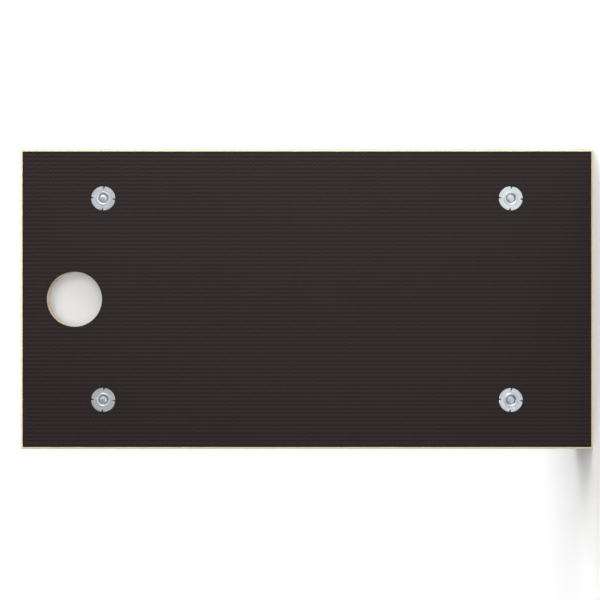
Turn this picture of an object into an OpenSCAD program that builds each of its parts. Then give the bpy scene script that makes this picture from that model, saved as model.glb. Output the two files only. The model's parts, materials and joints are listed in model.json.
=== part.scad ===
// Wall punch pad: a filmed plywood board hangs on a wall peg, and a cushion on a carrier board
// slides on four bolts against rubber buffers. The origin is the centre of the hanging hole on
// the board's wall face. +Y points to the wall, +Z up.

/* [Wall board] */
// Width of the wall board
board_w = 272; // [240:1:340]
// Height of the wall board
board_h = 520; // [440:1:640]
// Thickness of the wall board, films included
board_t = 18; // [15:0.5:24]
// Bevel round both faces of the wall board
board_bevel = 1.8; // [0.5:0.1:3]
// Thickness of the dark films
film_t = 0.4; // [0.3:0.1:0.8]
// Diameter of the hanging hole
hang_d = 50; // [30:1:60]
// Hanging hole centre below the board's top edge
hang_drop = 49; // [45:1:60]

/* [Bolt places] */
// Distance between the bolt columns
bolt_gap_w = 183; // [150:1:190]
// Distance between the bolt rows
bolt_gap_h = 370; // [300:1:390]

/* [Bolts] */
// Thread diameter of the bolts
bolt_d = 8; // [6:1:10]
// Depth of the bolt's tip below the film
tip_sink = 0.5; // [0.3:0.1:2]
// Diameter of the button head
head_d = 14; // [12:0.5:18]
// Height of the button head
head_h = 4.4; // [3:0.1:5.5]
// Width across the flats of the head's socket
socket_af = 5; // [4:0.5:6]
// Depth of the head's socket
socket_depth = 2.6; // [2:0.1:2.8]
// Diameter of the washers under the heads
washer_d = 24; // [20:0.5:26]
// Thickness of the washers under the heads
washer_t = 2; // [1.5:0.1:2.2]

/* [Tee nuts] */
// Diameter of the tee-nut flange
flange_d = 22; // [19:0.5:26]
// Thickness of the tee-nut flange
flange_t = 1.3; // [1:0.1:1.6]
// Outer diameter of the tee-nut barrel
barrel_d = 10; // [9:0.1:12]
// Length of the tee nut, flange included
barrel_l = 11; // [8:0.5:13]
// Depth of the flange's surface below the film
flange_sink = 0.4; // [0.3:0.05:0.6]
// Height of the rolled lip above the flange
lip_h = 0.3; // [0.1:0.05:0.3]
// Radius of the funnel that leads into the thread
funnel_r = 1.4; // [1:0.1:1.6]
// Width of the rolled lip round the funnel
lip_w = 0.9; // [0.5:0.1:1.2]
// Depth of the rim notches
notch_depth = 2.4; // [1.5:0.1:3]
// Width of the rim notches at the rim
notch_w = 2; // [1:0.1:2.6]
// Length of the prongs below the flange
prong_l = 7; // [5:0.5:9]
// Width of the prongs
prong_w = 3.2; // [2:0.1:4]
// Thickness of the prongs
prong_t = 1.2; // [1:0.1:1.6]

/* [Rubber buffers] */
// Diameter of the buffers
buffer_d = 40; // [32:1:44]
// Length of the rubber
rubber_l = 28; // [26:0.5:32]
// Depth of the waist round the rubber
rubber_waist = 1.5; // [0.5:0.1:3]
// Furthest the pad is pushed to the wall
travel = 7; // [3:0.5:7]
// Thickness of the buffer's steel discs
disc_t = 2; // [1.5:0.1:2.5]

/* [Carrier board] */
// Distance from the wall board's outline to the carrier's
carrier_inset = 9; // [7:1:14]
// Thickness of the carrier, films included
carrier_t = 15; // [14:0.5:18]
// Bevel round both faces of the carrier
carrier_bevel = 1; // [0.5:0.1:2]
// Corner radius of the carrier
carrier_corner = 20; // [18:1:30]
// Depth of the pockets for the bolt heads
pocket_depth = 8; // [7.5:0.1:9]
// Diameter of the pockets for the bolt heads
pocket_d = 28; // [26:1:32]

/* [Guide bushes] */
// Wall of the bush
bush_wall = 2; // [1.5:0.1:3]
// Diameter of the bush's flange
bush_flange_d = 20; // [18:0.5:24]
// Thickness of the bush's flange
bush_flange_t = 1.5; // [1:0.1:2]

/* [Cushion] */
// Distance from the wall board's outline to the cushion's
cushion_inset = 3; // [0:0.5:8]
// Corner radius of the cushion
cushion_corner = 22; // [16:1:40]
// Thickness of the firm foam
base_foam_t = 20; // [15:1:30]
// Thickness of the soft foam
face_foam_t = 32; // [20:1:45]
// Thickness of the cover
cover_t = 1.2; // [0.8:0.1:2]
// Diameter of the piping
piping_d = 5; // [4:0.5:7]
// Room left in front of the bolt heads at full travel
head_room = 3; // [1:0.5:6]

/* [Hook-and-loop tapes] */
// Width of each tape
tape_w = 50; // [30:1:60]
// Length of each tape
tape_l = 210; // [150:1:220]
// Thickness of each tape
tape_t = 1; // [0.8:0.1:1.5]
// Distance between neighbouring tapes
tape_pitch = 120; // [90:1:130]

/* [Fits] */
// Radial clearance between bolt and thread
thread_clear = 0.05; // [0.02:0.01:0.1]
// Radial clearance between bolt and bush
slide_clear = 0.2; // [0.1:0.05:0.4]
// Radial clearance of bolts in discs, washers and rubber
bolt_clear = 0.5; // [0.3:0.1:1]
// Radial clearance of barrels and bushes in their drilled holes
hole_clear = 0.1; // [0.05:0.05:0.2]
// Clearance round the prongs in their slots
prong_clear = 0.05; // [0.02:0.01:0.1]
// Gap between a bush and the buffer disc behind it
bush_gap = 0.5; // [0.3:0.1:1]
// Clearance between the cover and the piping's cord
seam_clear = 0.1; // [0.05:0.05:0.3]

/* [Hidden] */
CORNERS = [1:4];
TAPES = [1:3];
function numbered(name, range) = [for (i = range) str(name, "_", i)];
$fn = 96;
cut = 1; // how far a cutter runs past the face that it opens

// Height of the board's middle, measured from the hanging hole
board_mid = hang_drop - board_h / 2;
// Depths from the wall, in the order in which the pieces lie on each other
buffer_z = board_t;
rubber_z = buffer_z + disc_t;
pad_disc_z = rubber_z + rubber_l;
carrier_z = pad_disc_z + disc_t;
pocket_z = carrier_z + carrier_t - pocket_depth;
washer_z = pocket_z + bush_flange_t;
head_z = washer_z + washer_t;
hook_z = carrier_z + carrier_t;
loop_z = hook_z + tape_t;
cover_z = loop_z + tape_t;
base_foam_z = cover_z + cover_t;
face_foam_z = base_foam_z + base_foam_t;
front_z = face_foam_z + face_foam_t;
cover_end = front_z + cover_t;

thread_r = bolt_d / 2 + thread_clear;
through_r = bolt_d / 2 + bolt_clear;
bush_bore_r = bolt_d / 2 + slide_clear;
bush_r = bush_bore_r + bush_wall;
barrel_hole_r = barrel_d / 2 + hole_clear;
bush_hole_r = bush_r + hole_clear;
flange_bottom = flange_sink + flange_t;
lip_top = flange_sink - lip_h;
rim_round = 0.4;
// How far the heads stand out of the carrier at full travel, and the bore that clears them
head_reach = travel + head_z + head_h - hook_z;
relief_depth = head_reach - (base_foam_z - hook_z) + head_room;

carrier_w = board_w - 2 * carrier_inset;
carrier_h = board_h - 2 * carrier_inset;
// The piping stands proud of the cover by half its thickness
cover_w = board_w - 2 * cushion_inset - piping_d;
cover_h = board_h - 2 * cushion_inset - piping_d;
foam_w = cover_w - 2 * cover_t;
foam_h = cover_h - 2 * cover_t;
foam_corner = cushion_corner - cover_t;

// Stands the piece up: x stays, y becomes the height and z the depth from the wall
module upright() rotate([90, 0, 0]) children();

// Puts the children at bolt i, seen from the pad: 1 top left, 2 top right, 3 low left, 4 low right
module at_bolt(i) {
    side = i % 2 == 1 ? -1 : 1;
    row = i < 3 ? 1 : -1;
    translate([side * bolt_gap_w / 2, board_mid + row * bolt_gap_h / 2, 0]) children();
}

module at_bolts() for (i = CORNERS) at_bolt(i) children();

module disc(r, z, t) translate([0, 0, z]) cylinder(r = r, h = t);

module ring(r, bore, z, t) difference() {
    disc(r, z, t);
    disc(bore, z - cut, t + 2 * cut);
}

// Outline across a panel of width w and thickness t whose long edges are bevelled
module bevel_profile(w, t, bevel) polygon([
    [-w / 2 + bevel, 0], [w / 2 - bevel, 0], [w / 2, bevel], [w / 2, t - bevel],
    [w / 2 - bevel, t], [-w / 2 + bevel, t], [-w / 2, t - bevel], [-w / 2, bevel]
]);

module bevelled_panel(w, h, t, bevel) intersection() {
    rotate([90, 0, 0]) linear_extrude(h, center = true) bevel_profile(w, t, bevel);
    rotate([90, 0, 90]) linear_extrude(w, center = true) bevel_profile(h, t, bevel);
}

module rounded(w, h, r) {
    square([w - 2 * r, h], center = true);
    square([w, h - 2 * r], center = true);
    for (x = [-1, 1], y = [-1, 1]) translate([x * (w / 2 - r), y * (h / 2 - r)]) circle(r);
}

// A rounded plate, its middle at the board's middle
module plate(w, h, r, z, t) translate([0, board_mid, z]) linear_extrude(t) rounded(w, h, r);

// A round cord bent to the cover's outline, at depth z
module seam_cord(z, r) translate([0, board_mid, z]) {
    run_w = cover_w / 2 - cushion_corner;
    run_h = cover_h / 2 - cushion_corner;
    for (turn = [0, 1]) rotate(180 * turn) {
        translate([cover_w / 2, 0, 0]) rotate([90, 0, 0]) cylinder(r = r, h = 2 * run_h, center = true);
        translate([0, cover_h / 2, 0]) rotate([0, 90, 0]) cylinder(r = r, h = 2 * run_w, center = true);
        translate([run_w, run_h, 0])
            rotate_extrude(angle = 90) translate([cushion_corner, 0]) circle(r);
        translate([-run_w, run_h, 0]) rotate(90)
            rotate_extrude(angle = 90) translate([cushion_corner, 0]) circle(r);
    }
}

// Both seams' cords with their clearance, to be cut from what lies round them
module seams() for (z = [cover_z, cover_end]) seam_cord(z, piping_d / 2 + seam_clear);

// One notch in the rim on +x: one side runs along the radius and the other slants
module notch() translate([0, 0, -cut]) linear_extrude(flange_bottom + 2 * cut) polygon([
    [flange_d / 2 - notch_depth, 0], [flange_d / 2 + cut, 0],
    [flange_d / 2 + cut, notch_w * 1.2], [flange_d / 2 - notch_depth, notch_w / 3]
]);

// The four prongs, bent into the wood beside the notches
module prongs(grow) for (turn = [0:90:270]) rotate(turn)
    translate([flange_d / 2 - 2 * prong_t - grow, -prong_w - grow, flange_bottom])
        rotate([90, 0, 90]) linear_extrude(prong_t + 2 * grow) polygon([
            [0, -grow], [prong_w + 2 * grow, -grow], [prong_w + 2 * grow, prong_l / 2],
            [prong_w / 2 + grow, prong_l + grow], [0, prong_l / 2]
        ]);

// What the tee nuts need in the board: a seat for the flange, a hole and four slots
module tee_nut_cuts() at_bolts() {
    disc(flange_d / 2 + hole_clear, -cut, flange_bottom + cut);
    disc(barrel_hole_r, 0, board_t + cut);
    prongs(prong_clear);
}

module hang_cut() disc(hang_d / 2, -cut, board_t + 2 * cut);

// A film as large as the board's face within its bevel
module film(w, h, bevel, z) translate([0, board_mid, z + film_t / 2])
    cube([w - 2 * bevel, h - 2 * bevel, film_t], center = true);

module board_core() color("burlywood") upright() difference() {
    translate([0, board_mid, film_t])
        bevelled_panel(board_w, board_h, board_t - 2 * film_t, board_bevel);
    hang_cut();
    tee_nut_cuts();
}

module mesh_film() color([0.2, 0.18, 0.18]) upright() difference() {
    film(board_w, board_h, board_bevel, 0);
    hang_cut();
    tee_nut_cuts();
}

module smooth_film() color([0.23, 0.19, 0.17]) upright() difference() {
    film(board_w, board_h, board_bevel, board_t - film_t);
    hang_cut();
    tee_nut_cuts();
}

// Half section of flange, rolled lip, funnel and barrel
module tee_nut_section() {
    funnel_x = thread_r + funnel_r;
    polygon(concat(
        [for (a = [180:15:270]) [funnel_x + funnel_r * cos(a), lip_top + funnel_r * (1 + sin(a))]],
        [[funnel_x + lip_w / 2, lip_top], [funnel_x + lip_w, flange_sink]],
        [for (a = [270:30:360])
            [flange_d / 2 - rim_round * (1 - cos(a)), flange_sink + rim_round * (1 + sin(a))]],
        [[flange_d / 2, flange_bottom], [barrel_d / 2, flange_bottom]],
        [[barrel_d / 2, flange_sink + barrel_l], [thread_r, flange_sink + barrel_l]]
    ));
}

module tee_nut(i) color("silver") upright() at_bolt(i) {
    difference() {
        rotate_extrude() tee_nut_section();
        for (turn = [0:90:270]) rotate(turn) notch();
    }
    prongs(0);
}

// Half section of a button-head bolt, from its domed tip to its head
module bolt_section() {
    r = bolt_d / 2;
    edge = head_h / 5;
    crown_r = head_d / 4;
    polygon(concat(
        [[0, tip_sink], [r / 2, tip_sink + 0.1], [r - 0.8, tip_sink + 0.35], [r, tip_sink + 1.15]],
        [[r, head_z], [head_d / 2, head_z]],
        [for (a = [0:15:90])
            [crown_r + (head_d / 2 - crown_r) * cos(a), head_z + edge + (head_h - edge) * sin(a)]],
        [[0, head_z + head_h]]
    ));
}

module bolt(i) color("silver") upright() at_bolt(i) difference() {
    rotate_extrude() bolt_section();
    translate([0, 0, head_z + head_h - socket_depth])
        cylinder(d = socket_af / cos(30), h = socket_depth + cut, $fn = 6);
}

module buffer_wall_disc(i) color("silver") upright() at_bolt(i)
    ring(buffer_d / 2, through_r, buffer_z, disc_t);

module buffer_pad_disc(i) color("silver") upright() at_bolt(i)
    ring(buffer_d / 2, through_r, pad_disc_z, disc_t);

// Half section of the rubber tube, its side drawn in to a shallow waist
module rubber_section() polygon(concat(
    [[through_r, 0]],
    [for (k = [0:8]) [buffer_d / 2 - rubber_waist * sin(180 * k / 8), rubber_l * k / 8]],
    [[through_r, rubber_l]]
));

module buffer_rubber(i) color([0.1, 0.1, 0.1]) upright() at_bolt(i)
    translate([0, 0, rubber_z]) rotate_extrude() rubber_section();

module guide_bush(i) color("ivory") upright() at_bolt(i) difference() {
    union() {
        disc(bush_flange_d / 2, pocket_z, bush_flange_t);
        disc(bush_r, carrier_z + bush_gap, pocket_z - carrier_z - bush_gap + bush_flange_t);
    }
    disc(bush_bore_r, carrier_z - cut, carrier_t);
}

module head_washers() color("silver") upright() at_bolts()
    ring(washer_d / 2, through_r, washer_z, washer_t);

// Bush holes and head pockets through the carrier
module carrier_cuts() at_bolts() {
    disc(bush_hole_r, carrier_z - cut, carrier_t + 2 * cut);
    disc(pocket_d / 2, pocket_z, pocket_depth + cut);
}

module carrier_core() color("burlywood") upright() difference() {
    intersection() {
        translate([0, board_mid, carrier_z + film_t])
            bevelled_panel(carrier_w, carrier_h, carrier_t - 2 * film_t, carrier_bevel);
        plate(carrier_w, carrier_h, carrier_corner, carrier_z, carrier_t);
    }
    carrier_cuts();
}

module carrier_film(z) color([0.8, 0.8, 0.8]) upright() difference() {
    plate(carrier_w - 2 * carrier_bevel, carrier_h - 2 * carrier_bevel,
        carrier_corner - carrier_bevel, z, film_t);
    carrier_cuts();
}

module carrier_back_film() carrier_film(carrier_z);

module carrier_front_film() carrier_film(hook_z - film_t);

// Tape i of the three, one above the other
module tape(i, z) translate([0, board_mid + (2 - i) * tape_pitch, z + tape_t / 2])
    cube([tape_l, tape_w, tape_t], center = true);

module hook_tape(i) color([0.15, 0.15, 0.15]) upright() tape(i, hook_z);

module loop_tape(i) color([0.3, 0.3, 0.3]) upright() tape(i, loop_z);

// Clear bores for the bolt heads at full travel
module relief_cuts() at_bolts() disc(pocket_d / 2, cover_z - cut, cut + cover_t + relief_depth);

module cover_rear() color([0.16, 0.16, 0.16]) upright() difference() {
    plate(cover_w, cover_h, cushion_corner, cover_z, cover_t);
    relief_cuts();
    seams();
}

module cover_band() color([0.12, 0.12, 0.12]) upright() difference() {
    plate(cover_w, cover_h, cushion_corner, base_foam_z, front_z - base_foam_z);
    plate(foam_w, foam_h, foam_corner, base_foam_z - cut, front_z - base_foam_z + 2 * cut);
    seams();
}

module cover_front() color([0.12, 0.12, 0.12]) upright() difference() {
    plate(cover_w, cover_h, cushion_corner, front_z, cover_t);
    seams();
}

module piping_rear() color([0.2, 0.2, 0.2]) upright() seam_cord(cover_z, piping_d / 2);

module piping_front() color([0.2, 0.2, 0.2]) upright() seam_cord(cover_end, piping_d / 2);

module base_foam() color([0.35, 0.35, 0.4]) upright() difference() {
    plate(foam_w, foam_h, foam_corner, base_foam_z, base_foam_t);
    relief_cuts();
    seams();
}

module face_foam() color([0.85, 0.8, 0.6]) upright() difference() {
    plate(foam_w, foam_h, foam_corner, face_foam_z, face_foam_t);
    seams();
}

board_core();
mesh_film();
smooth_film();
for (i = CORNERS) {
    tee_nut(i);
    bolt(i);
    buffer_wall_disc(i);
    buffer_rubber(i);
    buffer_pad_disc(i);
    guide_bush(i);
}
head_washers();
carrier_core();
carrier_back_film();
carrier_front_film();
for (i = TAPES) {
    hook_tape(i);
    loop_tape(i);
}
cover_rear();
cover_band();
cover_front();
piping_rear();
piping_front();
base_foam();
face_foam();
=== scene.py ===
"""Looks of the wall punch pad: finishes for its boards and steel parts, its sewn cushion and its
rubber buffers."""

import json
import math

import bmesh
import bpy
import numpy as np
from bpy.props import FloatProperty, FloatVectorProperty, PointerProperty
from mathutils import Matrix, Vector


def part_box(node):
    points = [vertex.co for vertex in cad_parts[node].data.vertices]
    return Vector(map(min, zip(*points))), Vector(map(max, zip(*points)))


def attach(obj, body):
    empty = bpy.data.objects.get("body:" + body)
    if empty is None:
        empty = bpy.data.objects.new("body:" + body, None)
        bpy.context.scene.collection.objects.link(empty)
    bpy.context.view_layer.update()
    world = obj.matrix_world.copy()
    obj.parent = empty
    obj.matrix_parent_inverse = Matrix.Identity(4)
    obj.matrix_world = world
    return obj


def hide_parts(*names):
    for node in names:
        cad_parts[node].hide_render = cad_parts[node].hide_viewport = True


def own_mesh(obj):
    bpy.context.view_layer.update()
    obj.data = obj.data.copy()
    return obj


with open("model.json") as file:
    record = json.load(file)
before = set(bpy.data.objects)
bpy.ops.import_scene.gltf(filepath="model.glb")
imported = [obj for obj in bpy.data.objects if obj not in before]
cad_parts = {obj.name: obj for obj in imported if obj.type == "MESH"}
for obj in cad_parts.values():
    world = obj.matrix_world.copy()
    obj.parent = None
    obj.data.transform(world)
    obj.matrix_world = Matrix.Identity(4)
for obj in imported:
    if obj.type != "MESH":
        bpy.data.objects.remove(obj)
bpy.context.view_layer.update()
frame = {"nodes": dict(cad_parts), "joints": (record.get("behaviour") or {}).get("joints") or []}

bl_info = {
    "name": "Wall Punch Pad",
    "version": (1, 0, 0),
    "blender": (4, 5, 0),
    "location": "View3D > Sidebar > Punch Pad",
    "description": "Finishes a wall punch pad's boards and hardware and sews its cushion",
    "category": "Object",
}

CORNERS = range(1, 5)
TAPES = range(1, 4)
MM = 0.001
HANGING = "wall_board"
STRIKING = "striking_pad"
CAMERA_DISTANCE = 1.6
CAMERA_ACROSS = 0.7 * MM
CAMERA_ABOVE = 6.3 * MM
CAMERA_LENS = 105.8
SENSOR = 36
CLOTH_STEPS = 20
SEED_FRONT, SEED_REAR = 3, 7
SHOULDER = 35 * MM
SHOULDER_SHARE = 0.72
PUCKER_REACH = 12 * MM
HEAD_OPENING = 17 * MM
# Depth of the tee nuts' countersinks, whose wood is painted near black as painted shade.
RECESS_SHADE_DEPTH = 2.4 * MM


# Sizes that come from the frame, in metres. A depth is measured from the wall, so y is minus the depth.


def depth_range(node):
    """The nearest and furthest depth of a node, measured from the wall face."""
    low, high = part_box(node)
    return -high.y, -low.y


def middle(node):
    """The middle of a node, across and up."""
    low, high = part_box(node)
    return (low.x + high.x) / 2, (low.z + high.z) / 2


def span(node):
    """A node's width and height."""
    low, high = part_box(node)
    return high.x - low.x, high.z - low.z


PIPE_R = (depth_range("piping_front")[1] - depth_range("piping_front")[0]) / 2
REAR_SEAM = sum(depth_range("piping_rear")) / 2
FRONT_SEAM = sum(depth_range("piping_front")) / 2
COVER_W = span("piping_front")[0] - 2 * PIPE_R
COVER_H = span("piping_front")[1] - 2 * PIPE_R
COVER_MID = middle("piping_front")[1]
COVER_CORNER = 22 * MM
COVER_T = depth_range("cover_front")[1] - depth_range("cover_front")[0]
BOARD_LOW, BOARD_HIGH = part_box("board_core")


# Settings


class PunchPadBoard(bpy.types.PropertyGroup):
    film_colour: FloatVectorProperty(
        name="Film", description="Colour of the dark films", subtype="COLOR", size=3,
        min=0, max=1, default=(0.0132, 0.0084, 0.0083))
    ply_colour: FloatVectorProperty(
        name="Birch", description="Colour of the pale veneers", subtype="COLOR", size=3,
        min=0, max=1, default=(0.80, 0.68, 0.46))
    mesh_pitch: FloatProperty(
        name="Mesh pitch", description="Distance between the wires of the embossed mesh",
        unit="LENGTH", default=3.63 * MM, min=1 * MM, max=8 * MM)
    carrier_colour: FloatVectorProperty(
        name="Carrier film", description="Colour of the carrier board's films", subtype="COLOR",
        size=3, min=0, max=1, default=(0.78, 0.78, 0.78))


class PunchPadCushion(bpy.types.PropertyGroup):
    leather_colour: FloatVectorProperty(
        name="Cover", description="Colour of the cover", subtype="COLOR", size=3,
        min=0, max=1, default=(0.013, 0.013, 0.014))
    thread_colour: FloatVectorProperty(
        name="Thread", description="Colour of the sewing thread", subtype="COLOR", size=3,
        min=0, max=1, default=(0.42, 0.41, 0.38))
    crown: FloatProperty(
        name="Crown", description="How far the cut of the striking face stands out past its seam",
        unit="LENGTH", default=4 * MM, min=0, max=8 * MM)
    swell: FloatProperty(
        name="Swell", description="The most that the filling pushes the cover out",
        unit="LENGTH", default=7 * MM, min=1 * MM, max=10 * MM)
    pucker: FloatProperty(
        name="Pucker", description="Depth of the puckers that the seams draw into the cover",
        unit="LENGTH", default=0.7 * MM, min=0, max=2 * MM)
    stitch_pitch: FloatProperty(
        name="Stitch pitch", description="Distance from one stitch to the next",
        unit="LENGTH", default=4.2 * MM, min=2 * MM, max=8 * MM)


class PunchPadStage(bpy.types.PropertyGroup):
    floor_colour: FloatVectorProperty(
        name="Floor", description="Colour of the floor", subtype="COLOR", size=3,
        min=0, max=1, default=(0.86, 0.86, 0.86))
    key_power: FloatProperty(
        name="Key light", description="Power of the main light in watts", default=34, min=0, max=200)
    top_power: FloatProperty(
        name="Overhead light", description="Power of the light over the floor in watts",
        default=24, min=0, max=200)
    fill_power: FloatProperty(
        name="Fill light", description="Power of the light on the cushion in watts",
        default=28, min=0, max=200)


# Meshes from numpy grids


def new_piece(name, points, faces, material, body, smooth=True):
    """A mesh object from arrays of points and faces, riding on a body."""
    mesh = bpy.data.meshes.new(name)
    mesh.from_pydata(points.tolist(), [], faces.tolist() if hasattr(faces, "tolist") else faces)
    mesh.polygons.foreach_set("use_smooth", np.full(len(mesh.polygons), smooth))
    mesh.update()
    piece = bpy.data.objects.new(name, mesh)
    bpy.context.scene.collection.objects.link(piece)
    mesh.materials.append(material)
    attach(piece, body)
    return piece


def grid_faces(rows, columns):
    """Quads of a grid of rows by columns whose columns close on themselves."""
    row, column = np.meshgrid(np.arange(rows - 1), np.arange(columns), indexing="ij")
    here = row * columns + column
    beside = row * columns + (column + 1) % columns
    return np.stack([here, beside, beside + columns, here + columns], -1).reshape(-1, 4)


def rounded_outline(width, height, radius, step):
    """A rounded rectangle as points, outward normals and lengths along it, anticlockwise from
    the lower end of the right side. Each straight side is a row of even steps and each corner a
    quarter circle, whose normals turn with it."""
    half_w, half_h = width / 2 - radius, height / 2 - radius
    corner_steps = max(6, round(radius * math.pi / 2 / step))
    points, normals = [], []
    for turn, (run, other) in enumerate([(half_h, half_w), (half_w, half_h)] * 2):
        steps = max(2, round(2 * run / step))
        along = np.linspace(-run, run, steps, endpoint=False)
        bend = np.linspace(0, math.pi / 2, corner_steps, endpoint=False)
        side = np.stack([np.full(steps, other + radius), along], 1)
        corner = np.stack([other + radius * np.cos(bend), run + radius * np.sin(bend)], 1)
        side_normal = np.tile([1.0, 0.0], (steps, 1))
        corner_normal = np.stack([np.cos(bend), np.sin(bend)], 1)
        c, s = math.cos(turn * math.pi / 2), math.sin(turn * math.pi / 2)
        rotate = np.array([[c, s], [-s, c]])
        points += [side @ rotate, corner @ rotate]
        normals += [side_normal @ rotate, corner_normal @ rotate]
    points, normals = np.concatenate(points), np.concatenate(normals)
    steps = np.linalg.norm(np.roll(points, -1, 0) - points, axis=1)
    length = np.concatenate([[0], np.cumsum(steps)])
    return points, normals, length[:-1], length[-1]


def stand_up(across, up, depth):
    """Points from distances across, up from the cushion's middle and deep from the wall."""
    across, up, depth = np.broadcast_arrays(across, up, depth)
    return np.stack([across, -depth, up + COVER_MID], -1).reshape(-1, 3)


def edge_distance(across, up):
    """How far a point of the cover lies inside its outline: minus the signed distance to a
    rounded rectangle, which is the distance to the inner rectangle less the corner radius."""
    dx = np.abs(across) - (COVER_W / 2 - COVER_CORNER)
    dy = np.abs(up) - (COVER_H / 2 - COVER_CORNER)
    outside = np.hypot(np.maximum(dx, 0), np.maximum(dy, 0))
    return COVER_CORNER - outside - np.minimum(np.maximum(dx, dy), 0)


def puckers(length, total, seed):
    """Uneven puckers along a seam: a sum of whole waves round it, with seeded phases, mostly
    between -1 and 1."""
    rng = np.random.default_rng(seed)
    waves = rng.integers(45, 95, 9)
    phases = rng.uniform(0, 2 * math.pi, 9)
    weights = rng.uniform(0.5, 1, 9)
    angles = 2 * math.pi * waves[:, None] * length[None, :] / total + phases[:, None]
    return (weights[:, None] * np.sin(angles)).sum(0) / weights.sum() * 1.6


def front_depth(across, up, crown):
    """Depth of the striking face: it leaves the seam steeply, rounds over within the shoulder and
    then crowns gently, as a product of two parabolas."""
    inside = np.clip(edge_distance(across, up), 0, None)
    shoulder = 1 - (1 - np.clip(inside / SHOULDER, 0, 1)) ** 2.6
    dome = (1 - (2 * across / COVER_W) ** 2) * (1 - (2 * up / COVER_H) ** 2)
    return FRONT_SEAM + crown * (SHOULDER_SHARE * shoulder + (1 - SHOULDER_SHARE) * dome)


# Materials


def shader(name):
    """A new material with its node tree and Principled shader."""
    material = bpy.data.materials.new(name)
    material.use_nodes = True
    return material, material.node_tree, material.node_tree.nodes["Principled BSDF"]


def add(tree, kind, inputs=None, **settings):
    """A node whose inputs are values or other nodes' outputs."""
    made = tree.nodes.new("ShaderNode" + kind)
    for key, value in settings.items():
        setattr(made, key, value)
    for key, value in (inputs or {}).items():
        if isinstance(value, bpy.types.NodeSocket):
            tree.links.new(value, made.inputs[key])
        else:
            made.inputs[key].default_value = value
    return made


def place(tree):
    """Object coordinates, which are the row frame's metres."""
    return add(tree, "TexCoord").outputs["Object"]


def maths(tree, operation, a, b=0.0):
    return add(tree, "Math", {0: a, 1: b}, operation=operation).outputs[0]


def noise(tree, vector, scale, detail=3.0, rough=0.55):
    inputs = {"Vector": vector, "Scale": scale, "Detail": detail, "Roughness": rough}
    return add(tree, "TexNoise", inputs).outputs["Fac"]


def ramp(tree, factor, stops):
    """A colour ramp from (place, colour) pairs, where a colour is one grey or three numbers."""
    made = add(tree, "ValToRGB", {"Fac": factor})
    band = made.color_ramp
    while len(band.elements) < len(stops):
        band.elements.new(0.5)
    for element, (at, colour) in zip(band.elements, stops):
        rgb = [colour] * 3 if isinstance(colour, float) else list(colour)
        element.position = at
        element.color = rgb + [1]
    return made.outputs["Color"]


def mixed(tree, factor, a, b, blend="MIX"):
    """Two colours mixed by a factor."""
    made = add(tree, "Mix", data_type="RGBA", blend_type=blend)
    for key, value in ((0, factor), (6, a), (7, b)):
        if isinstance(value, bpy.types.NodeSocket):
            tree.links.new(value, made.inputs[key])
        else:
            made.inputs[key].default_value = value if key == 0 else [*value, 1]
    return made.outputs[2]


def bumped(tree, surface, height, distance, strength=1.0, below=None):
    """Adds a height in metres times distance to the shader's normal."""
    inputs = {"Height": height, "Distance": distance, "Strength": strength}
    if below is not None:
        inputs["Normal"] = below
    made = add(tree, "Bump", inputs)
    tree.links.new(made.outputs["Normal"], surface.inputs["Normal"])
    return made.outputs["Normal"]


def rough_from(tree, surface, factor, low, high):
    """Roughness that runs from low to high with a factor."""
    made = add(tree, "MapRange", {"Value": factor, "To Min": low, "To Max": high})
    tree.links.new(made.outputs["Result"], surface.inputs["Roughness"])


def scaled(colour, by):
    return tuple(min(1.0, c * by) for c in colour)


def film_material(name, colour, pitch, emboss, grit):
    """Slightly mottled hard film. With a pitch it is embossed with a woven mesh, whose knots lie
    where the cosines across and up the board are both high or both low. The mesh's colour is
    painted lighter on its raised knots and darker in its hollows, as painted highlight and shade."""
    material, tree, surface = shader(name)
    here = place(tree)
    cloud = noise(tree, here, 9.0, 4.0)
    fine = noise(tree, here, 700.0, 2.0)
    tone = mixed(tree, cloud, scaled(colour, 0.86), scaled(colour, 1.14))
    surface.inputs["Specular IOR Level"].default_value = 0.18
    if pitch:
        parts = add(tree, "SeparateXYZ", {"Vector": here})
        turn = 2 * math.pi / pitch
        across = maths(tree, "COSINE", maths(tree, "MULTIPLY", parts.outputs["X"], turn))
        up = maths(tree, "COSINE", maths(tree, "MULTIPLY", parts.outputs["Z"], turn))
        knots = maths(tree, "MULTIPLY", across, up)
        weave = maths(tree, "ADD", knots, maths(tree, "MULTIPLY", across, 0.8))
        level = add(tree, "MapRange", {"Value": weave, "From Min": -1.8, "From Max": 1.8})
        level = level.outputs["Result"]
        # Painted highlight and shade: the colour follows the mesh's height, lighter on the knots and darker
        # in the hollows.
        tone = mixed(tree, level, scaled(colour, 0.25), scaled(colour, 1.75))
        worn = mixed(tree, 0.12, tone, (0, 0, 0))
        tone = mixed(tree, cloud, worn, tone)
        first = bumped(tree, surface, level, emboss)
        bumped(tree, surface, fine, grit, 1.0, first)
    else:
        bumped(tree, surface, fine, grit)
    tree.links.new(tone, surface.inputs["Base Color"])
    rough_from(tree, surface, noise(tree, here, 45.0, 5.0), 0.36, 0.52)
    return material


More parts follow.
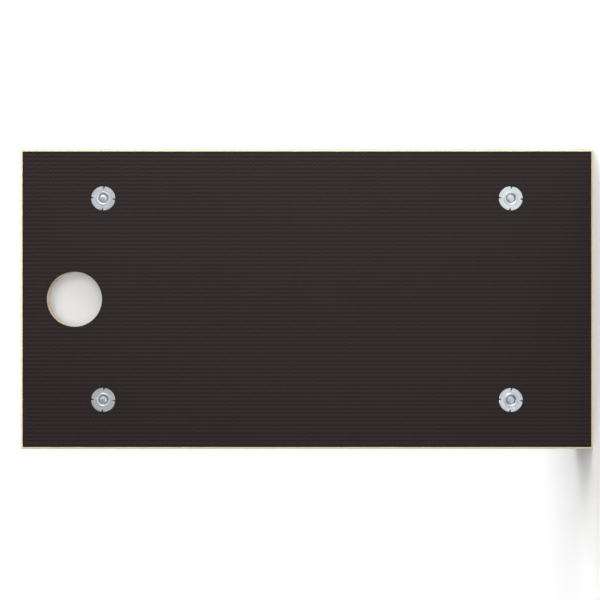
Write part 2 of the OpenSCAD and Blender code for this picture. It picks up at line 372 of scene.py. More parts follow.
def ply_material(name, colour, nearest_depth, thickness, plies, shade_depth=0.0):
    """Birch plywood seen on its edges: veneers in turn along and across the grain, by depth. The
    countersinks of the tee nuts, down to the given depth, are painted near black as painted shade."""
    material, tree, surface = shader(name)
    here = place(tree)
    parts = add(tree, "SeparateXYZ", {"Vector": here})
    wander = noise(tree, here, 14.0, 2.0)
    from_wall = maths(tree, "MULTIPLY", parts.outputs["Y"], -1.0)
    depth = maths(tree, "SUBTRACT", from_wall, nearest_depth)
    waviness = maths(tree, "MULTIPLY", maths(tree, "SUBTRACT", wander, 0.5), 0.5 * MM)
    depth = maths(tree, "ADD", depth, waviness)
    count = maths(tree, "MULTIPLY", depth, plies / thickness)
    within = maths(tree, "FRACT", count)
    odd = maths(tree, "MODULO", maths(tree, "FLOOR", count), 2.0)
    glue = maths(tree, "LESS_THAN", within, 0.07)
    stretch = add(tree, "Mapping", {"Vector": here, "Scale": (1.0, 14.0, 1.0)}).outputs["Vector"]
    fibre = noise(tree, stretch, 160.0, 6.0, 0.7)
    pores = noise(tree, here, 1900.0, 3.0, 0.6)
    pale = mixed(tree, fibre, scaled(colour, 0.84), scaled(colour, 1.12))
    end_grain = (colour[0] * 0.5, colour[1] * 0.42, colour[2] * 0.34)
    dark = mixed(tree, pores, end_grain, scaled(colour, 0.8))
    wood = mixed(tree, odd, pale, dark)
    wood = mixed(tree, maths(tree, "MULTIPLY", glue, 0.6), wood, (0.12, 0.06, 0.03))
    # Painted shade: the wood in the tee nuts' countersinks is painted near black.
    recess_shade = maths(tree, "LESS_THAN", depth, shade_depth)
    inner = maths(tree, "LESS_THAN", maths(tree, "ABSOLUTE", parts.outputs["X"]), BOARD_HIGH.x - 6 * MM)
    high = maths(tree, "LESS_THAN", parts.outputs["Z"], BOARD_HIGH.z - 6 * MM)
    low = maths(tree, "GREATER_THAN", parts.outputs["Z"], BOARD_LOW.z + 6 * MM)
    flat = add(tree, "VectorMath", {0: here, 1: (1.0, 0.0, 1.0)}, operation="MULTIPLY").outputs[0]
    from_hole = add(tree, "VectorMath", {0: flat}, operation="LENGTH").outputs["Value"]
    past_hole = maths(tree, "GREATER_THAN", from_hole, 40 * MM)
    for limit in (inner, high, low, past_hole):
        recess_shade = maths(tree, "MULTIPLY", recess_shade, limit)
    wood = mixed(tree, recess_shade, wood, (0.010, 0.008, 0.007))
    tree.links.new(wood, surface.inputs["Base Color"])
    rough_from(tree, surface, fibre, 0.55, 0.8)
    height = maths(tree, "ADD", maths(tree, "MULTIPLY", pores, 0.5), maths(tree, "MULTIPLY", fibre, 0.5))
    bumped(tree, surface, height, 0.12 * MM)
    return material


def zinc_material(name, tint, low, high):
    """Zinc-plated steel: a cool grey with soft plating clouds, fine stamping lines and dull spots."""
    material, tree, surface = shader(name)
    here = place(tree)
    cloud = noise(tree, here, 130.0, 4.0)
    grain = noise(tree, here, 1500.0, 3.0, 0.7)
    spots = ramp(tree, noise(tree, here, 420.0, 3.0), [(0.60, 0.0), (0.72, 1.0)])
    tone = mixed(tree, cloud, scaled(tint, 0.86), scaled(tint, 1.12))
    tone = mixed(tree, maths(tree, "MULTIPLY", spots, 0.25), tone, scaled(tint, 0.55))
    tree.links.new(tone, surface.inputs["Base Color"])
    surface.inputs["Metallic"].default_value = 1.0
    rough_from(tree, surface, cloud, low, high)
    bumped(tree, surface, grain, 0.03 * MM)
    return material


def rubber_material():
    """Moulded rubber: matt black with bloom in its clouds and a fine moulded grain."""
    material, tree, surface = shader("moulded_rubber")
    here = place(tree)
    bloom = noise(tree, here, 60.0, 5.0, 0.6)
    grain = noise(tree, here, 1300.0, 2.0)
    tree.links.new(ramp(tree, bloom, [(0.35, 0.010), (0.75, 0.026)]), surface.inputs["Base Color"])
    rough_from(tree, surface, bloom, 0.55, 0.78)
    bumped(tree, surface, grain, 0.05 * MM)
    return material


def leather_material(name, colour, pebble, wear):
    """Synthetic leather: pebbles between fine creases, larger soft folds, and duller rubbed patches
    scattered by a noise."""
    material, tree, surface = shader(name)
    here = place(tree)
    warp = add(tree, "TexNoise", {"Vector": here, "Scale": 320.0, "Detail": 2.0}).outputs["Color"]
    shift = add(tree, "VectorMath", {0: warp, 1: (0.9 * MM,) * 3}, operation="MULTIPLY").outputs[0]
    bent = add(tree, "VectorMath", {0: here, 1: shift}, operation="ADD").outputs[0]
    cells = add(tree, "TexVoronoi", {"Vector": bent, "Scale": 1 / pebble}, feature="DISTANCE_TO_EDGE")
    pebbles = ramp(tree, cells.outputs["Distance"], [(0.0, 0.0), (0.10, 0.62), (0.35, 1.0)])
    fine = noise(tree, here, 2600.0, 2.0)
    folds = noise(tree, here, 38.0, 3.0)
    cloud = noise(tree, here, 11.0, 4.0)
    crease = maths(tree, "SUBTRACT", 1.0, pebbles)
    tone = mixed(tree, cloud, scaled(colour, 0.8), scaled(colour, 1.35))
    # Painted shade: the fine creases between the pebbles are painted darker.
    tone = mixed(tree, maths(tree, "MULTIPLY", crease, 0.55), tone, scaled(colour, 0.35))
    tree.links.new(tone, surface.inputs["Base Color"])
    height = maths(tree, "ADD", maths(tree, "MULTIPLY", pebbles, 0.8), maths(tree, "MULTIPLY", fine, 0.2))
    first = bumped(tree, surface, folds, 0.5 * MM)
    bumped(tree, surface, height, 0.14 * MM, 0.85, first)
    rubbed = ramp(tree, noise(tree, here, 16.0, 6.0, 0.65), [(0.40, 0.0), (0.70, 1.0)])
    rough = maths(tree, "ADD", maths(tree, "MULTIPLY", rubbed, wear), maths(tree, "MULTIPLY", crease, 0.15))
    rough_from(tree, surface, rough, 0.36, 0.62)
    surface.inputs["Specular IOR Level"].default_value = 0.3
    surface.inputs["Sheen Weight"].default_value = 0.03
    return material


def weave_material(name, colour, pitch, pile):
    """Woven cloth: over and under bands from two crossed sine waves, and stray fibres."""
    material, tree, surface = shader(name)
    here = place(tree)
    parts = add(tree, "SeparateXYZ", {"Vector": here})
    turn = 2 * math.pi / pitch
    across = maths(tree, "SINE", maths(tree, "MULTIPLY", parts.outputs["X"], turn))
    up = maths(tree, "SINE", maths(tree, "MULTIPLY", parts.outputs["Z"], turn))
    level = maths(tree, "MULTIPLY", maths(tree, "ADD", maths(tree, "MULTIPLY", across, up), 1.0), 0.5)
    fibre = noise(tree, here, 2200.0, 4.0, 0.7)
    level = maths(tree, "ADD", level, maths(tree, "MULTIPLY", fibre, pile))
    # Painted highlight and shade: the colour follows the weave's height, lighter on the raised bands and
    # darker between them.
    tone = mixed(tree, level, scaled(colour, 0.5), scaled(colour, 1.4))
    tree.links.new(tone, surface.inputs["Base Color"])
    surface.inputs["Roughness"].default_value = 0.9
    surface.inputs["Sheen Weight"].default_value = 0.25
    bumped(tree, surface, level, 0.25 * MM)
    return material


def foam_material(name, colour, cell):
    """Cut foam: open cells as rounded pits, and slow changes of tone."""
    material, tree, surface = shader(name)
    here = place(tree)
    cells = add(tree, "TexVoronoi", {"Vector": here, "Scale": 1 / cell}).outputs["Distance"]
    cloud = noise(tree, here, 20.0, 3.0)
    # Painted shade: the colour darkens where the cells' bump height falls.
    tone = mixed(tree, cells, scaled(colour, 1.15), scaled(colour, 0.55))
    tone = mixed(tree, maths(tree, "MULTIPLY", cloud, 0.4), tone, scaled(colour, 0.8))
    tree.links.new(tone, surface.inputs["Base Color"])
    surface.inputs["Roughness"].default_value = 0.95
    bumped(tree, surface, maths(tree, "SUBTRACT", 1.0, cells), 0.4 * MM)
    return material


def nylon_material():
    """Moulded nylon: warm ivory with faint flow clouds."""
    material, tree, surface = shader("nylon")
    here = place(tree)
    tone = mixed(tree, noise(tree, here, 90.0, 3.0), (0.62, 0.58, 0.47), (0.74, 0.71, 0.62))
    tree.links.new(tone, surface.inputs["Base Color"])
    rough_from(tree, surface, noise(tree, here, 300.0, 2.0), 0.35, 0.5)
    bumped(tree, surface, noise(tree, here, 900.0, 2.0), 0.02 * MM)
    return material


def thread_material(colour):
    """Twisted sewing thread: strands as a slanting wave, and loose fibres."""
    material, tree, surface = shader("thread")
    here = place(tree)
    strands = add(tree, "TexWave", {"Vector": here, "Scale": 420.0, "Distortion": 1.5},
                  bands_direction="DIAGONAL").outputs["Fac"]
    fibre = noise(tree, here, 3000.0, 2.0)
    # Painted shade: the colour follows the strands' height, darker in the grooves between them.
    tone = mixed(tree, strands, scaled(colour, 0.65), scaled(colour, 1.2))
    tree.links.new(tone, surface.inputs["Base Color"])
    rough_from(tree, surface, fibre, 0.6, 0.85)
    surface.inputs["Sheen Weight"].default_value = 0.2
    bumped(tree, surface, maths(tree, "ADD", strands, fibre), 0.06 * MM)
    return material


def finish_nodes(names, material):
    """Gives CAD nodes a material."""
    for name in names:
        mesh = frame["nodes"][name].data
        mesh.materials.clear()
        mesh.materials.append(material)


def numbered(name, numbers):
    return [f"{name}_{i}" for i in numbers]


# Operators


class PUNCHPAD_OT_board(bpy.types.Operator):
    """Finish the wall board: embossed and smooth dark films on birch plywood"""

    bl_idname = "punchpad.board"
    bl_label = "Wall Board"

    def execute(self, context):
        sizes = context.scene.punch_pad_board
        film = tuple(sizes.film_colour)
        near, far = depth_range("board_core")
        mesh = film_material("mesh_film", film, sizes.mesh_pitch, 0.16 * MM, 0.02 * MM)
        smooth = film_material("smooth_film", film, 0, 0, 0.02 * MM)
        ply = ply_material("birch_ply", tuple(sizes.ply_colour), near, far - near, 13,
                           RECESS_SHADE_DEPTH)
        finish_nodes(["mesh_film"], mesh)
        finish_nodes(["smooth_film"], smooth)
        finish_nodes(["board_core"], ply)
        return {"FINISHED"}


class PUNCHPAD_OT_hardware(bpy.types.Operator):
    """Finish the tee nuts, bolts, discs, washers and bushes"""

    bl_idname = "punchpad.hardware"
    bl_label = "Hardware"

    def execute(self, context):
        stamped = zinc_material("zinc_stamped", (0.63, 0.67, 0.70), 0.24, 0.36)
        turned = zinc_material("zinc_turned", (0.56, 0.60, 0.64), 0.24, 0.36)
        finish_nodes(numbered("tee_nut", CORNERS), stamped)
        finish_nodes(numbered("bolt", CORNERS) + ["head_washers"], turned)
        finish_nodes(numbered("buffer_wall_disc", CORNERS), turned)
        finish_nodes(numbered("buffer_pad_disc", CORNERS), turned)
        finish_nodes(numbered("guide_bush", CORNERS), nylon_material())
        return {"FINISHED"}


class PUNCHPAD_OT_buffers(bpy.types.Operator):
    """Mould the four rubber buffers"""

    bl_idname = "punchpad.buffers"
    bl_label = "Rubber Buffers"

    def execute(self, context):
        material = rubber_material()
        travel = frame["joints"][0]["range_m"][1]
        for i in CORNERS:
            self.buffer(i, material, travel)
        return {"FINISHED"}

    def buffer(self, i, material, travel):
        """One tube: its outer profile is a cosine waist between two rounded lips with a raised
        moulding line at half length, turned round the bolt, and its bore closes the profile."""
        node = f"buffer_rubber_{i}"
        near, far = depth_range(node)
        radius = span(node)[0] / 2
        across, up = middle(node)
        bore = 4.6 * MM
        lip = 1.6 * MM
        t = np.linspace(0, 1, 61)
        bend = np.linspace(0, math.pi / 2, 7)
        waist = radius - 1.9 * MM * np.sin(math.pi * t) ** 0.8
        line = 0.35 * MM * np.exp(-(((t - 0.5) / 0.012) ** 2))
        near_lip = np.stack([radius - lip + lip * np.sin(bend), lip - lip * np.cos(bend)], 1)
        far_lip = np.stack([near_lip[::-1, 0], (far - near) - near_lip[::-1, 1]], 1)
        side = np.stack([waist + line, lip + t * (far - near - 2 * lip)], 1)
        inner = np.array([[bore, far - near], [bore, 0]])
        profile = np.concatenate([near_lip[:-1], side, far_lip[1:], inner])
        turn = np.linspace(0, 2 * math.pi, 72, endpoint=False)
        x = across + profile[:, :1] * np.cos(turn)
        z = up + profile[:, :1] * np.sin(turn)
        y = -(near + profile[:, 1:]) + 0 * turn
        points = np.stack([x, y, z], -1).reshape(-1, 3)
        faces = grid_faces(len(profile), len(turn))
        last = (len(profile) - 1) * len(turn)
        first, column = np.arange(len(turn)), (np.arange(len(turn)) + 1) % len(turn)
        closing = np.stack([last + first, last + column, column, first], 1)
        faces = np.concatenate([faces, closing])[:, ::-1]
        piece = new_piece(f"rubber_buffer_{i}", points, faces, material, HANGING)
        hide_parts(node)
        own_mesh(piece)


class PUNCHPAD_OT_carrier(bpy.types.Operator):
    """Finish the carrier board and the hook-and-loop tapes"""

    bl_idname = "punchpad.carrier"
    bl_label = "Carrier Board"

    def execute(self, context):
        sizes = context.scene.punch_pad_board
        near, far = depth_range("carrier_core")
        ply = ply_material("carrier_ply", tuple(sizes.ply_colour), near, far - near, 11)
        grey = film_material("grey_film", tuple(sizes.carrier_colour), 0, 0, 0.02 * MM)
        finish_nodes(["carrier_core"], ply)
        finish_nodes(["carrier_back_film", "carrier_front_film"], grey)
        hooks = weave_material("hook_weave", (0.02, 0.02, 0.02), 1.4 * MM, 0.3)
        loops = weave_material("loop_pile", (0.03, 0.03, 0.03), 1.0 * MM, 0.9)
        finish_nodes(numbered("hook_tape", TAPES), hooks)
        finish_nodes(numbered("loop_tape", TAPES), loops)
        return {"FINISHED"}


class PUNCHPAD_OT_foam(bpy.types.Operator):
    """Cut the firm and the soft foam, hidden inside the cover"""

    bl_idname = "punchpad.foam"
    bl_label = "Foam"

    def execute(self, context):
        cushion = context.scene.punch_pad_cushion
        near = depth_range("face_foam")[0]
        firm = foam_material("firm_foam", (0.06, 0.06, 0.07), 0.6 * MM)
        soft = foam_material("soft_foam", (0.70, 0.62, 0.40), 1.1 * MM)
        finish_nodes(["base_foam"], firm)
        points, faces = shell(2.2 * COVER_T, near + 0.1 * MM, cushion.crown - COVER_T, 8 * MM)
        piece = new_piece("face_foam_block", points, faces, soft, STRIKING)
        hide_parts("face_foam")
        return {"FINISHED"}


def shell(inset, back, crown, step):
    """A closed cushion form: a flat back, upright sides inset from the cover's outline, and a
    crowned front. Rings run from the middle of the back to the middle of the front."""
    outline, normals, _, _ = rounded_outline(COVER_W, COVER_H, COVER_CORNER, step)
    edge = outline - inset * normals
    rings = round(COVER_W / 2 / step)
    shrink = np.linspace(1, 0, rings, endpoint=False)
    rise = np.linspace(0, 1, max(3, round((FRONT_SEAM - back) / step)))[1:-1]
    flat = edge[None] * shrink[::-1, None, None]
    sides = np.repeat(edge[None], len(rise), 0)
    front = edge[None] * shrink[:, None, None]
    front_y = front_depth(front[..., 0], front[..., 1], crown) - 0.9 * inset
    side_y = back + rise[:, None] * (front_y[0][None] - back)
    rows = np.concatenate([flat, sides, front])
    depth = np.concatenate([np.full(flat.shape[:2], back), side_y, front_y])
    points = stand_up(rows[..., 0], rows[..., 1], depth)
    poles = stand_up(0.0, 0.0, np.array([back, front_depth(0.0, 0.0, crown) - 0.9 * inset]))
    count, last = len(outline), (len(rows) - 1) * len(outline)
    first = np.arange(count)
    following = (first + 1) % count
    faces = grid_faces(len(rows), count).tolist()
    faces += np.stack([np.full(count, len(points)), following, first], 1).tolist()
    faces += np.stack([np.full(count, len(points) + 1), last + first, last + following], 1).tolist()
    return np.concatenate([points, poles]), faces


def vertices(mesh):
    """A mesh's vertices as an array."""
    flat = np.empty(len(mesh.vertices) * 3)
    mesh.vertices.foreach_get("co", flat)
    return flat.reshape(-1, 3)


def evaluated(piece):
    """The mesh that a piece's modifiers make, as a new mesh."""
    graph = bpy.context.evaluated_depsgraph_get()
    return bpy.data.meshes.new_from_object(piece.evaluated_get(graph))


class PUNCHPAD_OT_cover(bpy.types.Operator):
    """Sew and fill the cover: the striking face and the band round the sides swell between seams"""

    bl_idname = "punchpad.cover"
    bl_label = "Cover"

    def execute(self, context):
        cushion = context.scene.punch_pad_cushion
        leather = leather_material("cover_leather", tuple(cushion.leather_colour), 1.5 * MM, 0.8)
        back = depth_range("cover_rear")[1]
        points, faces = shell(0.4 * MM, back + 0.05 * MM, cushion.crown, 4 * MM)
        piece = new_piece("padded_cover", points, faces, leather, STRIKING)
        even = piece.modifiers.new("even", "REMESH")
        even.mode = "VOXEL"
        even.voxel_size = 5 * MM
        even.use_smooth_shade = True
        self.settle(piece)
        self.fill(piece, back, cushion.swell)
        self.pucker(piece, cushion.pucker)
        self.open_back(piece, back)
        soft = piece.modifiers.new("soft", "SUBSURF")
        soft.levels = 1
        soft.render_levels = 1
        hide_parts("cover_front", "cover_band")
        cloth = weave_material("backing_cloth", (0.03, 0.03, 0.033), 0.9 * MM, 0.4)
        finish_nodes(["cover_rear"], cloth)
        return {"FINISHED"}

    def settle(self, piece):
        """Applies the piece's modifiers to its mesh."""
        made = evaluated(piece)
        piece.modifiers.clear()
        materials = list(piece.data.materials)
        piece.data = made
        made.materials.clear()
        for material in materials:
            made.materials.append(material)
        made.polygons.foreach_set("use_smooth", np.full(len(made.polygons), True))

    def fill(self, piece, back, most):
        """Swells the cover as pressed cloth that is held along both seams and over its back. A
        point moves at most a set distance, approached smoothly as a hyperbolic tangent."""
        start = vertices(piece.data)
        depth, inside = -start[:, 1], edge_distance(start[:, 0], start[:, 2] - COVER_MID)
        at_front = (inside < 3 * MM) & (np.abs(depth - FRONT_SEAM) < 4 * MM)
        held = at_front | (depth < back + 4 * MM)
        sewn = piece.vertex_groups.new(name="sewn")
        sewn.add(np.flatnonzero(held).tolist(), 1.0, "REPLACE")
        cloth = piece.modifiers.new("filling", "CLOTH")
        cloth.settings.quality = 6
        cloth.settings.mass = 0.25
        cloth.settings.tension_stiffness = 18
        cloth.settings.compression_stiffness = 18
        cloth.settings.shear_stiffness = 6
        cloth.settings.bending_stiffness = 0.6
        cloth.settings.shrink_min = -0.012
        cloth.settings.vertex_group_mass = sewn.name
        cloth.settings.use_pressure = True
        cloth.settings.uniform_pressure_force = 4
        cloth.settings.effector_weights.gravity = 0
        cloth.point_cache.frame_start = 1
        cloth.point_cache.frame_end = CLOTH_STEPS
        for step in range(1, CLOTH_STEPS + 1):
            bpy.context.scene.frame_set(step)
        self.settle(piece)
        bpy.context.scene.frame_set(1)
        piece.vertex_groups.clear()
        moved = vertices(piece.data) - start
        reach = np.linalg.norm(moved, axis=1)[:, None]
        moved *= most * np.tanh(reach / most) / np.maximum(reach, 1e-9)
        piece.data.vertices.foreach_set("co", (start + moved).ravel())
        piece.data.update()

    def open_back(self, piece, back):
        """Takes the faces off the back round each bolt head, so that a head can move into the
        firm foam. The back panel covers the edges of the openings."""
        mesh = piece.data
        middles = np.empty(len(mesh.polygons) * 3)
        mesh.polygons.foreach_get("center", middles)
        middles = middles.reshape(-1, 3)
        heads = np.array([middle(f"bolt_{i}") for i in CORNERS])
        gaps = np.linalg.norm(middles[:, None, [0, 2]] - heads[None], axis=2).min(1)
        off = (gaps < HEAD_OPENING) & (-middles[:, 1] < back + 6 * MM)
        cut = bmesh.new()
        cut.from_mesh(mesh)
        cut.faces.ensure_lookup_table()
        away = [cut.faces[i] for i in np.flatnonzero(off)]
        bmesh.ops.delete(cut, geom=away, context="FACES")
        cut.to_mesh(mesh)
        cut.free()

    def pucker(self, piece, size):
        """Gathers the cover at its seams: each point moves along its normal by an uneven wave
        round the outline that fades away from a seam. The band then lies outside the foam."""
        outline, outward, length, total = rounded_outline(COVER_W, COVER_H, COVER_CORNER, 4 * MM)
        here = vertices(piece.data)
        flat = np.stack([here[:, 0], here[:, 2] - COVER_MID], 1)
        gaps = ((flat[:, None] - outline[None]) ** 2).sum(2)
        nearest = gaps.argmin(1)
        beside = np.sqrt(gaps.min(1))
        from_front = np.hypot(beside, -here[:, 1] - FRONT_SEAM)
        from_rear = np.hypot(beside, -here[:, 1] - REAR_SEAM)
        normals = np.empty(len(here) * 3)
        piece.data.vertex_normals.foreach_get("vector", normals)
        ripple = 0
        for seed, away in ((SEED_FRONT, from_front), (SEED_REAR, from_rear)):
            fade = np.exp(-away / PUCKER_REACH) * np.clip(away / (5 * MM), 0, 1)
            ripple = ripple + puckers(length, total, seed)[nearest] * fade
        here += size * ripple[:, None] * normals.reshape(-1, 3)
        depth = -here[:, 1]
        band = (beside < 9 * MM) & (depth > REAR_SEAM + 3 * MM) & (depth < FRONT_SEAM - 2 * MM)
        sunk = edge_distance(here[:, 0], here[:, 2] - COVER_MID) + 0.4 * MM
        lift = np.where(band, np.clip(sunk, 0, None), 0)
        here[:, 0] += lift * outward[nearest, 0]
        here[:, 2] += lift * outward[nearest, 1]
        piece.data.vertices.foreach_set("co", here.ravel())
        piece.data.update()


class PUNCHPAD_OT_piping(bpy.types.Operator):
    """Sew the piping into both seams"""

    bl_idname = "punchpad.piping"
    bl_label = "Piping"

    def execute(self, context):
        cushion = context.scene.punch_pad_cushion
        leather = leather_material("piping_leather", scaled(cushion.leather_colour, 1.5), 1.1 * MM, 0.5)
        for name, depth, seed in (("piping_front", FRONT_SEAM, 11), ("piping_rear", REAR_SEAM, 13)):
            self.cord(name, depth, seed, leather)
        return {"FINISHED"}

    def cord(self, name, depth, seed, leather):
        """A round cord along the outline. Its radius swells and shrinks a little by whole waves,
        and swells where its ends overlap, low on one side."""
        outline, normals, length, total = rounded_outline(COVER_W, COVER_H, COVER_CORNER, 2.4 * MM)
        turn = np.linspace(0, 2 * math.pi, 20, endpoint=False)
        at_join = np.abs(length - 0.75 * total)
        swell = 0.05 * MM * puckers(length, total, seed) - 0.1 * MM
        swell = swell + 0.1 * MM * np.exp(-((at_join / (6 * MM)) ** 4))
        radius = (PIPE_R + swell)[None, :]
        out = radius * np.cos(turn)[:, None]
        across = outline[None, :, 0] + normals[None, :, 0] * out
        up = outline[None, :, 1] + normals[None, :, 1] * out
        along = depth + radius * np.sin(turn)[:, None]
        points = stand_up(across, up, along).reshape(len(turn), len(outline), 3)
        points = points.transpose(1, 0, 2).reshape(-1, 3)
        faces = grid_faces(len(outline), len(turn))
        first, nxt = np.arange(len(turn)), (np.arange(len(turn)) + 1) % len(turn)
        last = (len(outline) - 1) * len(turn)
        faces = np.concatenate([faces, np.stack([last + first, last + nxt, nxt, first], 1)])
        piece = new_piece(name + "_cord", points, faces[:, ::-1], leather, STRIKING)
        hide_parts(name)


class PUNCHPAD_OT_stitching(bpy.types.Operator):
    """Stitch along both sides of the seams"""

    bl_idname = "punchpad.stitching"
    bl_label = "Stitching"

    def execute(self, context):
        cushion = context.scene.punch_pad_cushion
        thread = thread_material(tuple(cushion.thread_colour))
        pitch = cushion.stitch_pitch
        inset = PIPE_R + 3.5 * MM
        cover = bpy.data.objects["padded_cover"]
        graph = context.evaluated_depsgraph_get()
        surface = cover.evaluated_get(graph)
        outline, normals, _, _ = rounded_outline(COVER_W, COVER_H, COVER_CORNER, pitch)
        ring = outline - inset * normals
        above = stand_up(ring[:, 0], ring[:, 1], FRONT_SEAM + 40 * MM)
        towards = np.tile([0.0, 1.0, 0.0], (len(ring), 1))
        self.row("face_stitches", self.landed(surface, above, towards), -towards, thread)
        out = np.stack([normals[:, 0], 0 * normals[:, 0], normals[:, 1]], 1)
        rows = (("front_band_stitches", FRONT_SEAM - inset), ("rear_band_stitches", REAR_SEAM + inset))
        for name, at in rows:
            beyond = stand_up(outline[:, 0], outline[:, 1], at) + 30 * MM * out
            self.row(name, self.landed(surface, beyond, -out), out, thread)
        return {"FINISHED"}

    def landed(self, surface, starts, towards):
        """Where rays from the starts land on the cover."""
        hits = [surface.ray_cast(Vector(a), Vector(b)) for a, b in zip(starts.tolist(), towards.tolist())]
        if not all(hit[0] for hit in hits):
            raise RuntimeError("a stitch missed the cover")
        return np.array([list(hit[1]) for hit in hits])

    def row(self, name, points, out, thread):
        """One stitch between each pair of neighbouring points: a tube whose middle line is a
        shallow arc standing out of the cover and whose ends dive into it."""
        out = np.broadcast_to(np.asarray(out), points.shape)
        ahead = np.roll(points, -1, 0) - points
        beside = np.cross(ahead, out)
        beside /= np.linalg.norm(beside, axis=1)[:, None]
        t = np.linspace(0.10, 0.90, 7)
        lift = 0.34 * MM * np.sin(math.pi * np.linspace(0, 1, 7)) ** 0.6 - 0.12 * MM
        radius = 0.36 * MM * np.sin(math.pi * np.linspace(0.08, 0.92, 7)) ** 0.35
        turn = np.linspace(0, 2 * math.pi, 8, endpoint=False)
        line = points[:, None] + ahead[:, None] * t[None, :, None] + out[:, None] * lift[None, :, None]
        round_out = out[:, None, None] * (radius[:, None] * np.cos(turn))[None, :, :, None]
        round_side = beside[:, None, None] * (radius[:, None] * np.sin(turn))[None, :, :, None]
        tube = line[:, :, None] + round_out + round_side
        stitches, rings, sides = tube.shape[:3]
        one = grid_faces(rings, sides)
        shift = (np.arange(stitches) * rings * sides)[:, None, None]
        quads = (one[None] + shift).reshape(-1, 4).tolist()
        cap = np.arange(sides)
        caps = np.concatenate([
            (cap[::-1][None] + shift[:, :, 0]), (cap[None] + (rings - 1) * sides + shift[:, :, 0])])
        piece = new_piece(name, tube.reshape(-1, 3), quads + caps.tolist(), thread, STRIKING)


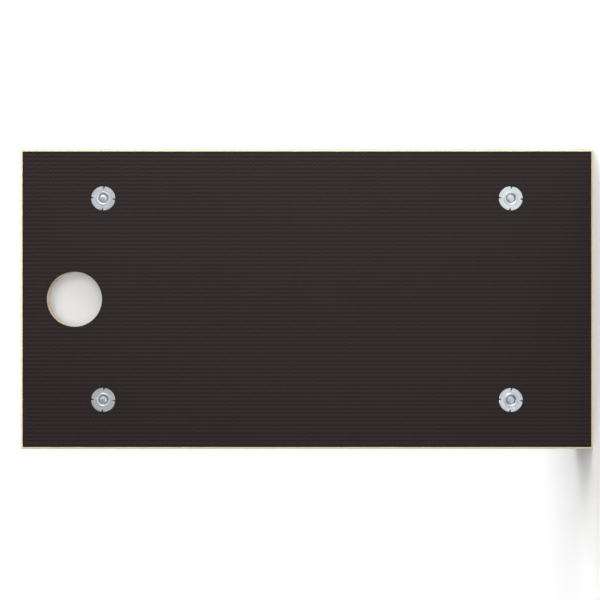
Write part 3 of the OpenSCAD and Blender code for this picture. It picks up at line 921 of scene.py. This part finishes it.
class PUNCHPAD_OT_stage(bpy.types.Operator):
    """Set the floor, the soft lights, the white surroundings and the camera"""

    bl_idname = "punchpad.stage"
    bl_label = "Stage"

    def execute(self, context):
        scene = context.scene
        stage = scene.punch_pad_stage
        self.floor(stage)
        self.surroundings(scene)
        centre = (0.0, 0.0, COVER_MID)
        axis = self.lamp("axis", (-0.12, 2.3, -0.14), centre, 0.8, stage.key_power)
        axis.visible_glossy = False
        self.lamp("key", (-1.0, 0.9, 0.0), centre, 0.9, stage.key_power * 0.25)
        overhead = self.lamp("overhead", (-0.2, 0.25, 1.7), centre, 1.2, stage.top_power)
        overhead.visible_glossy = False
        self.lamp("front_fill", (-0.9, -1.6, 0.6), centre, 1.3, stage.fill_power)
        self.lamp("front_side", (1.5, -1.0, 0.1), centre, 1.0, stage.fill_power * 0.4)
        self.camera(scene)
        scene.view_settings.view_transform = "Standard"
        return {"FINISHED"}

    def floor(self, stage):
        """A round floor at the board's lower edge that turns plain white away from the pad."""
        radius, steps = 9.0, 128
        turn = np.linspace(0, 2 * math.pi, steps, endpoint=False)
        level = BOARD_LOW.z
        points = np.stack([radius * np.cos(turn), radius * np.sin(turn), np.full(steps, level)], 1)
        mesh = bpy.data.meshes.new("floor")
        mesh.from_pydata(points.tolist(), [], [list(range(steps))])
        floor = bpy.data.objects.new("floor", mesh)
        bpy.context.scene.collection.objects.link(floor)
        material, tree, surface = shader("floor")
        here = place(tree)
        flat = add(tree, "VectorMath", {0: here, 1: (1.0, 1.0, 0.0)}, operation="MULTIPLY").outputs[0]
        away = add(tree, "VectorMath", {0: flat}, operation="LENGTH").outputs["Value"]
        fade = add(tree, "MapRange", {"Value": away, "From Min": 0.2, "From Max": 0.62},
                   interpolation_type="SMOOTHSTEP").outputs["Result"]
        surface.inputs["Base Color"].default_value = [*stage.floor_colour, 1]
        surface.inputs["Roughness"].default_value = 0.9
        white = add(tree, "Emission", {"Color": (1, 1, 1, 1), "Strength": 1.0})
        seen = add(tree, "LightPath").outputs["Is Camera Ray"]
        blend = add(tree, "MixShader", {
            0: maths(tree, "MULTIPLY", fade, seen), 1: surface.outputs[0], 2: white.outputs[0]})
        tree.links.new(blend.outputs[0], tree.nodes["Material Output"].inputs["Surface"])
        mesh.materials.append(material)

    def surroundings(self, scene):
        """White to the camera. Gloss and glass see it white on one side, falling to grey on the
        other across the middle, and it lights softly."""
        world = bpy.data.worlds.new("surroundings")
        world.use_nodes = True
        tree = world.node_tree
        path = add(tree, "LightPath")
        side = add(tree, "SeparateXYZ", {"Vector": add(tree, "TexCoord").outputs["Generated"]}).outputs["X"]
        slope = add(tree, "MapRange", {"Value": side, "From Min": -0.35, "From Max": 0.35, "To Min": 1.0,
                    "To Max": 0.3}, interpolation_type="SMOOTHSTEP").outputs["Result"]
        gloss = maths(tree, "MAXIMUM", path.outputs["Is Glossy Ray"], path.outputs["Is Transmission Ray"])
        softer = maths(tree, "MULTIPLY", slope, 0.5)
        level = maths(tree, "ADD", softer, maths(tree, "MULTIPLY", gloss, softer))
        seen = path.outputs["Is Camera Ray"]
        rest = maths(tree, "MULTIPLY", level, maths(tree, "SUBTRACT", 1.0, seen))
        tree.links.new(maths(tree, "ADD", seen, rest), tree.nodes["Background"].inputs["Strength"])
        tree.nodes["Background"].inputs["Color"].default_value = (1, 1, 1, 1)
        scene.world = world

    def lamp(self, name, at, target, size, power):
        """A square soft light that faces the target."""
        light = bpy.data.lights.new(name, "AREA")
        light.size = size
        light.energy = power
        lamp = bpy.data.objects.new(name, light)
        aim = np.array(target) - np.array(at)
        lamp.location = at
        lamp.rotation_euler = Vector(aim.tolist()).to_track_quat("-Z", "Y").to_euler()
        bpy.context.scene.collection.objects.link(lamp)
        return lamp

    def camera(self, scene):
        """Straight at the wall face, turned so that the hanging hole is at the left."""
        lens = bpy.data.cameras.new("camera")
        lens.lens = CAMERA_LENS
        lens.sensor_width = SENSOR
        camera = bpy.data.objects.new("camera", lens)
        camera.location = (CAMERA_ACROSS, CAMERA_DISTANCE, COVER_MID + CAMERA_ABOVE)
        camera.rotation_mode = "QUATERNION"
        camera.rotation_quaternion = turned_camera()
        scene.collection.objects.link(camera)
        scene.camera = camera


def turned_camera():
    """The turn that lays the board on its side: right is down the board, and up is across it."""
    return Matrix(((0, -1, 0), (0, 0, 1), (-1, 0, 0))).to_quaternion()


class PUNCHPAD_PT_panel(bpy.types.Panel):
    """The pad's settings and steps"""

    bl_idname = "PUNCHPAD_PT_panel"
    bl_label = "Punch Pad"
    bl_space_type = "VIEW_3D"
    bl_region_type = "UI"
    bl_category = "Punch Pad"

    def draw(self, context):
        scene = context.scene
        for group in (scene.punch_pad_board, scene.punch_pad_cushion, scene.punch_pad_stage):
            for name in group.bl_rna.properties.keys():
                if name not in ("rna_type", "name"):
                    self.layout.prop(group, name)
        for step in STEPS:
            self.layout.operator(step.bl_idname)


STEPS = (
    PUNCHPAD_OT_board, PUNCHPAD_OT_hardware, PUNCHPAD_OT_buffers, PUNCHPAD_OT_carrier, PUNCHPAD_OT_foam,
    PUNCHPAD_OT_cover, PUNCHPAD_OT_piping, PUNCHPAD_OT_stitching, PUNCHPAD_OT_stage,
)
CLASSES = (PunchPadBoard, PunchPadCushion, PunchPadStage, *STEPS, PUNCHPAD_PT_panel)


def register():
    for made in CLASSES:
        bpy.utils.register_class(made)
    bpy.types.Scene.punch_pad_board = PointerProperty(type=PunchPadBoard)
    bpy.types.Scene.punch_pad_cushion = PointerProperty(type=PunchPadCushion)
    bpy.types.Scene.punch_pad_stage = PointerProperty(type=PunchPadStage)


def unregister():
    del bpy.types.Scene.punch_pad_stage
    del bpy.types.Scene.punch_pad_cushion
    del bpy.types.Scene.punch_pad_board
    for made in reversed(CLASSES):
        bpy.utils.unregister_class(made)


def main():
    register()
    for step in STEPS:
        getattr(bpy.ops.punchpad, step.bl_idname.split(".")[1])()


if __name__ == "__main__":
    main()
